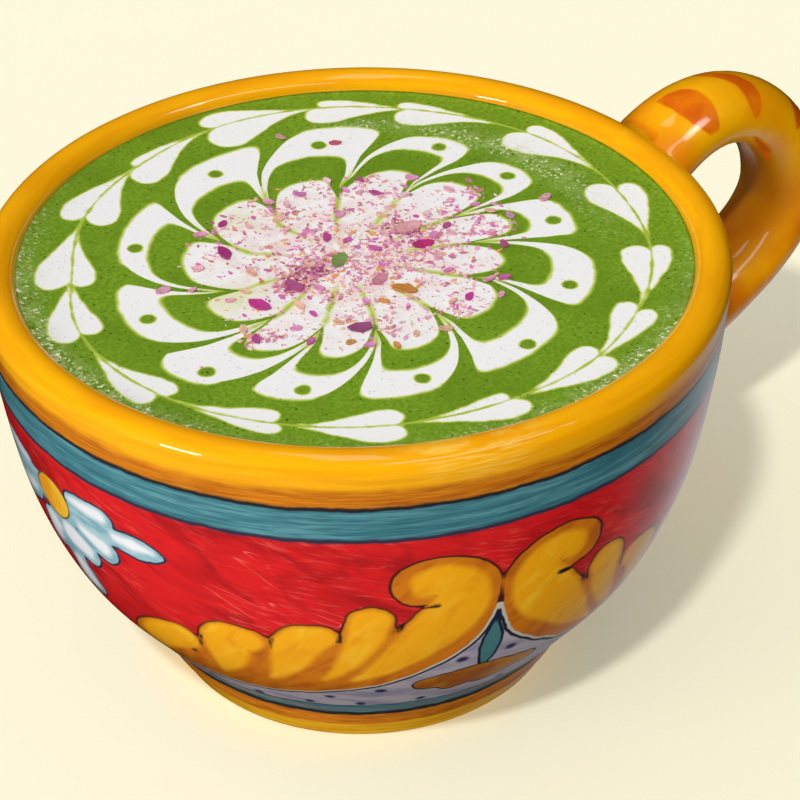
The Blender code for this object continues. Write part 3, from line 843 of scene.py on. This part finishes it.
# Pin-prick holes of burst bubbles, in two sizes, dark green with painted shade inside them: cells per metre,
# hole's radius and fade, share of cells
holes = []
for scale, radius, soft, share in ((420.0, 0.085, 0.03, 0.45), (1000.0, 0.15, 0.05, 0.42)):
    cells = add_node(tree, "ShaderNodeTexVoronoi", {"Vector": place, "Scale": scale})
    chosen = add_node(tree, "ShaderNodeSeparateColor", {"Color": cells.outputs["Color"]}).outputs[0]
    holes.append(overlap(within(cells.outputs["Distance"], radius, soft), within(chosen, share, 0.01)))
hole = merged(*holes)
# Painted shade: the holes' dark green
paint = lay(paint, "#3E5A0C", without(hole, milk, 0.85))
tree.links.new(paint, shader.inputs["Base Color"])
shader.inputs["Roughness"].default_value = 0.5
shader.inputs["IOR"].default_value = 1.34
grain = add_node(tree, "ShaderNodeTexNoise", {"Vector": place, "Scale": 1800.0,
                                              "Detail": 3.0}).outputs["Fac"]
froth_cells = add_node(tree, "ShaderNodeTexVoronoi", {"Vector": place, "Scale": 1500.0}).outputs["Distance"]
height = 0.0
for relief, share in ((grain, 0.35), (overlap(froth_cells, at_froth_and_sheen), 1.4), (hole, -0.8)):
    height = add_node(tree, "ShaderNodeMath", {0: relief, 1: share, 2: height},
                      operation="MULTIPLY_ADD").outputs[0]
bump = add_node(tree, "ShaderNodeBump", {"Height": height, "Strength": 0.5, "Distance": 0.0003})
tree.links.new(bump.outputs["Normal"], shader.inputs["Normal"])
drink.data.materials.clear()
drink.data.materials.append(foam)
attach(drink, "root")
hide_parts("matcha_latte")

# The petal flakes are dried rose petals, torn by hand: thin, pointed, curled up at their ends, magenta to
# dusty rose, with a green calyx piece in the middle. They lie half sunk in the foam.
SHOWN_FLAKES = (
    (20.5, 186, 4.2, 105, "#CC2A96"), (21.1, 139, 4.2, 73, "#B01A80"), (11.3, 338, 3.9, 158, "#BE1878"),
    (21.0, 235, 4.2, 153, "#9C4A80"), (12.7, 270, 4.6, 123, "#D08A2C"), (12.0, 7, 5.4, 173, "#E6A8B0"),
    (21.9, 287, 2.4, 33, "#C8329A"), (28.1, 200, 2.6, 60, "#C04A98"), (23.9, 117, 2.2, 20, "#B8268C"),
    (21.4, 78, 2.7, 140, "#D47CC0"), (27.7, 347, 2.4, 80, "#D090BC"), (7.3, 92, 2.7, 60, "#C03A92"),
    (35.5, 351, 2.9, 10, "#DDA3B4"), (36.3, 58, 2.4, 150, "#C9546A"), (40.4, 71, 2.4, 100, "#D8A0A0"),
    (31.7, 160, 2.9, 170, "#DDA0C0"), (19.6, 43, 2.5, 120, "#BC4A9C"), (3.0, 171, 4.6, 30, "#7FA050"),
    (13.1, 185, 4.4, 95, "#B8508C"), (8.1, 261, 4.0, 20, "#D88CA0"))
SMALL_COLOURS = ("#E48CC8", "#EDA4C8", "#D45CB0", "#E6B49A", "#F2C8D4", "#E8B0BC", "#E898C8", "#EFC0A8",
                 "#F4D0DA", "#B84A8C", "#F0B8C4", "#D89A50")
SMALL_FLAKES = 56
SMALL_LENGTH = 0.0023
STREWN_OVER = 0.0275
BREADTH = 0.56
THICKNESS = 0.00028
BASE_LIFT = 0.00012
CRUMPLE = 0.00022
END_CURL = 45.0
rng = random.Random(11)
flake_places = []
for distance, bearing_deg, length, turn, colour in SHOWN_FLAKES:
    spot = Matrix.Rotation(math.radians(bearing_deg), 2) @ Vector((distance / 1000, 0.0))
    flake_places.append((spot, length / 1000, math.radians(turn)))
while len(flake_places) < len(SHOWN_FLAKES) + SMALL_FLAKES:
    distance = STREWN_OVER * rng.random() ** 0.62
    spot = Matrix.Rotation(rng.uniform(0, math.tau), 2) @ Vector((distance, 0.0))
    length = SMALL_LENGTH * rng.uniform(0.8, 1.2)
    if all((spot - other).length > (length + size) / 2 for other, size, _ in flake_places):
        flake_places.append((spot, length, rng.uniform(0, math.pi)))
tilts = [rng.uniform(-0.2, 0.2) for _ in flake_places]

petal_stuff, tree, shader = new_material("dried_rose_petal")
place = add_node(tree, "ShaderNodeTexCoord").outputs["Object"]
own = add_node(tree, "ShaderNodeAttribute", attribute_name="petal_colour").outputs["Color"]
vein = clouds(900.0, 0.35, 0.7, 4.0)
shade = add_node(tree, "ShaderNodeMix", {"Factor": overlap(vein, 0.22)}, data_type="RGBA",
                 blend_type="MULTIPLY")
tree.links.new(own, shade.inputs[6])
shade.inputs[7].default_value = linear("#9A6A70")
tree.links.new(shade.outputs[2], shader.inputs["Base Color"])
shader.inputs["Roughness"].default_value = 0.55
shader.inputs["Sheen Weight"].default_value = 0.15
wrinkle = add_node(tree, "ShaderNodeTexNoise", {"Vector": place, "Scale": 1600.0, "Detail": 2.0})
bump = add_node(tree, "ShaderNodeBump", {"Height": wrinkle.outputs["Fac"], "Strength": 0.5,
                                         "Distance": 0.0002})
tree.links.new(bump.outputs["Normal"], shader.inputs["Normal"])


def colour_points(piece, colours):
    """Give each point of a piece its own linear colour."""
    made = piece.data.attributes.new("petal_colour", "FLOAT_COLOR", "POINT")
    made.data.foreach_set("color", np.asarray(colours, dtype=np.float32).ravel())


small_rng = random.Random(5)
flake_objects = []
flake_colours = []
for number, ((spot, length, turn), tilt) in enumerate(zip(flake_places, tilts)):
    clear_selection()
    shown = number < len(SHOWN_FLAKES)
    sides = 11 if shown else 7
    bpy.ops.mesh.primitive_cylinder_add(vertices=sides, radius=0.5, depth=1.0, end_fill_type="TRIFAN")
    flake = bpy.context.object
    flake.name = f"flake_{number}"
    torn = [small_rng.uniform(0.78, 1.05) for _ in range(sides)]
    crumple = [small_rng.uniform(-1.0, 1.0) for _ in range(sides)]
    for vert in flake.data.vertices:
        side = round(math.atan2(vert.co.x, vert.co.y) / math.tau * sides) % sides
        rim = math.hypot(vert.co.x, vert.co.y) > 0.1
        x = vert.co.x * length * (torn[side] if rim else 0.3)
        y = vert.co.y * length * BREADTH * (torn[(side + 3) % sides] if rim else 0.3)
        fold = CRUMPLE * abs(crumple[side]) if rim else 0.0
        vert.co = (x, y, vert.co.z * THICKNESS + BASE_LIFT + fold + END_CURL * x * x)
    flake.rotation_euler = (tilt, 0.0, turn)
    flake.location = (spot.x, spot.y, DRINK_LEVEL)
    bpy.ops.object.transform_apply(location=True, rotation=True, scale=True)
    colour = linear(SHOWN_FLAKES[number][4] if shown else small_rng.choice(SMALL_COLOURS))
    flake_colours += [colour] * len(flake.data.vertices)
    flake_objects.append(flake)
clear_selection()
for flake in flake_objects:
    flake.select_set(True)
bpy.context.view_layer.objects.active = flake_objects[0]
bpy.ops.object.join()
flakes = bpy.context.object
flakes.name = "petal_flakes"
colour_points(flakes, flake_colours)
flakes.data.materials.clear()
flakes.data.materials.append(petal_stuff)
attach(flakes, "root")
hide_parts("matcha_latte")

# The crumbs are the dust of the same petals, sprinkled through a sieve over the flower's middle: flat
# angular chips a few tenths of a millimetre long, pressed into the foam.
MOST_CRUMBS = 3400
TRIES = 200000
FARTHEST = 38.0
CRUMB_COLOURS = ("#F2B8D0", "#F0A0CC", "#F6CDBE", "#E884C0", "#F4C2A4", "#FADCD0", "#E070BC", "#D89088",
                 "#F2B060", "#F4CCE0", "#DC80BC", "#C87890", "#EDB4A8", "#E8ACC8", "#F0D0DC", "#EBA0B4")
DARK_COLOURS = ("#B03A84", "#C05A90", "#A8486E", "#D088A8", "#8E3A5E", "#DC9A9C")
# Where the dust lies thick: bearing, distance, reach in mm, and how much thicker; the first three are dark
PILES = (
    (222, 11.4, 2.0, 26.0), (213, 6.5, 2.4, 8.0), (40, 12.7, 3.0, 8.0), (14, 14.0, 4.0, 2.5),
    (237, 26.5, 1.8, 6.0), (40, 29.5, 3.0, 2.0), (200, 6.0, 3.5, 4.0), (350, 7.0, 3.5, 3.5),
    (80, 24.5, 2.5, 1.5), (20, 26.0, 3.0, 2.0))
DARK_PILES = 3
crumb_rng = np.random.default_rng(7)
distances = FARTHEST * np.sqrt(crumb_rng.random(TRIES))
bearings = crumb_rng.uniform(0, 360, TRIES)
crumb_u, crumb_v = distances * np.cos(np.radians(bearings)), distances * np.sin(np.radians(bearings))
clumps = [(crumb_rng.uniform(0, 360), 25 * crumb_rng.random() ** 0.7, crumb_rng.uniform(0.6, 1.8), 2.2)
          for _ in range(46)]


def from_pile(mark, distance):
    """Each crumb's distance in mm from the middle of a pile."""
    return np.hypot(crumb_u - distance * math.cos(math.radians(mark)),
                    crumb_v - distance * math.sin(math.radians(mark)))


# Even over the flower, thicker near its middle, thin on two petals, thick in the piles and off the green
thick = 0.55 / (1 + np.exp((distances - 25.0) / 0.8)) + 0.01 + 0.6 * np.exp(-((distances - 6.5) / 4.5) ** 2)
for mark, spread, less in ((208, 13, 0.85), (255, 26, 0.6)):
    thick *= 1 - less * np.exp(-(degrees_past(bearings, mark) / spread) ** 2) * (distances > 12)
for mark, distance, pile, more in PILES + tuple(clumps):
    thick += more * np.exp(-(from_pile(mark, distance) / pile) ** 2)
pin, rings = flower_lines(bearings, distances)
drawn_in = 14 * np.exp(-np.abs(pin) / 0.95) * np.clip((distances - 12) / 14, 0, 1)
thick *= np.where(rings[:, 2] + drawn_in < 0.3, 1.0, 0.12)
kept = np.flatnonzero(crumb_rng.random(TRIES) < thick / 9.0)[:MOST_CRUMBS]
count = len(kept)
crumb_u, crumb_v = crumb_u[kept], crumb_v[kept]
across, along = crumb_u + FLOWER_MIDDLE[0], crumb_v + FLOWER_MIDDLE[1]
crumb_x = (across * math.cos(FOAM_TURN) + along * math.sin(FOAM_TURN)) / 1000
crumb_y = (along * math.cos(FOAM_TURN) - across * math.sin(FOAM_TURN)) / 1000
clear_selection()
bpy.ops.mesh.primitive_cylinder_add(vertices=5, radius=0.5, depth=1.0)
chip = bpy.context.object
chip_points = read_points(chip.data)
chip_faces = [list(p.vertices) for p in chip.data.polygons]
chip.name = "petal_crumbs"
lengths = (0.3 + 1.35 * crumb_rng.random(count) ** 3.0) / 1000
turns = crumb_rng.uniform(0, math.tau, count)
breadths = crumb_rng.uniform(0.22, 0.7, count)
leans = crumb_rng.normal(0.0, 0.16, (count, 2))
CHIP_THICKNESS = 0.00012
CHIP_LIFT = 0.00006
all_points = []
for i in range(count):
    jitter = chip_points * crumb_rng.uniform(0.7, 1.3, chip_points.shape)
    x, y = jitter[:, 0] * lengths[i], jitter[:, 1] * lengths[i] * breadths[i]
    z = jitter[:, 2] * CHIP_THICKNESS + x * leans[i, 0] + y * leans[i, 1] + DRINK_LEVEL + CHIP_LIFT
    c, s = math.cos(turns[i]), math.sin(turns[i])
    all_points.append(np.stack([x * c - y * s + crumb_x[i], x * s + y * c + crumb_y[i], z], 1))
all_faces = [[v + len(chip_points) * i for v in face] for i in range(count) for face in chip_faces]
chip.data.clear_geometry()
chip.data.from_pydata(np.concatenate(all_points).tolist(), [], all_faces)
chip.data.update()
picks = [linear(CRUMB_COLOURS[i]) for i in crumb_rng.integers(0, len(CRUMB_COLOURS), count)]
for mark, distance, pile, more in PILES[:DARK_PILES]:
    for i in np.flatnonzero(from_pile(mark, distance) < pile * 1.3)[::2]:
        picks[i] = linear(DARK_COLOURS[i % len(DARK_COLOURS)])
colour_points(chip, np.repeat(np.array(picks), len(chip_points), axis=0))
chip.data.materials.clear()
chip.data.materials.append(petal_stuff)
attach(chip, "root")
